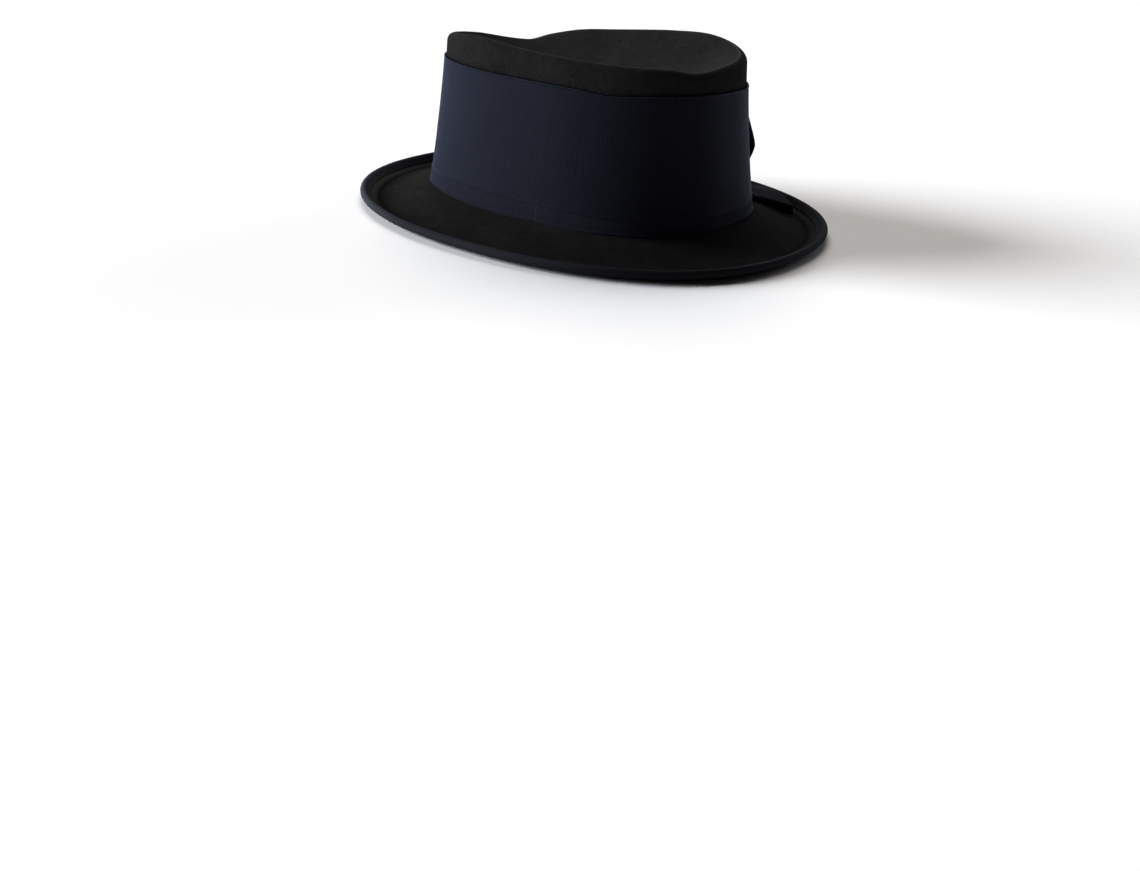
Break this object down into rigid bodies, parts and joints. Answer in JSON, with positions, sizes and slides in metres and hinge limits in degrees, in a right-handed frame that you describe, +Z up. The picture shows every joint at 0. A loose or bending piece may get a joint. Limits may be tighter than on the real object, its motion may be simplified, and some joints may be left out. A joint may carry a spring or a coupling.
{
  "type": "fedora",
  "caption": "Black felt fedora with a dished crown, a wide navy ribbon, a bound curled brim and a flat bow on the wearer's left.",
  "frame": {"origin": "on the surface that the brim rests on, under the middle of the brim", "axes": "+X towards the front of the hat, +Y towards the wearer's left, +Z up through the crown"},
  "size_m": [0.2946, 0.2604, 0.1085],
  "materials": {
    "felt": "matte black wool felt",
    "ribbon": "navy grosgrain with upright ribs and a slight sheen",
    "binding": "dark navy grosgrain folded over the edge"
  },
  "bodies": {
    "root": {"felt_body": "felt", "ribbon_band": "ribbon", "foot_band": "ribbon", "edge_binding": "binding", "bow_loop_front": "ribbon", "bow_loop_back": "ribbon", "bow_knot": "ribbon", "bow_tail": "ribbon"}
  },
  "joints": []
}
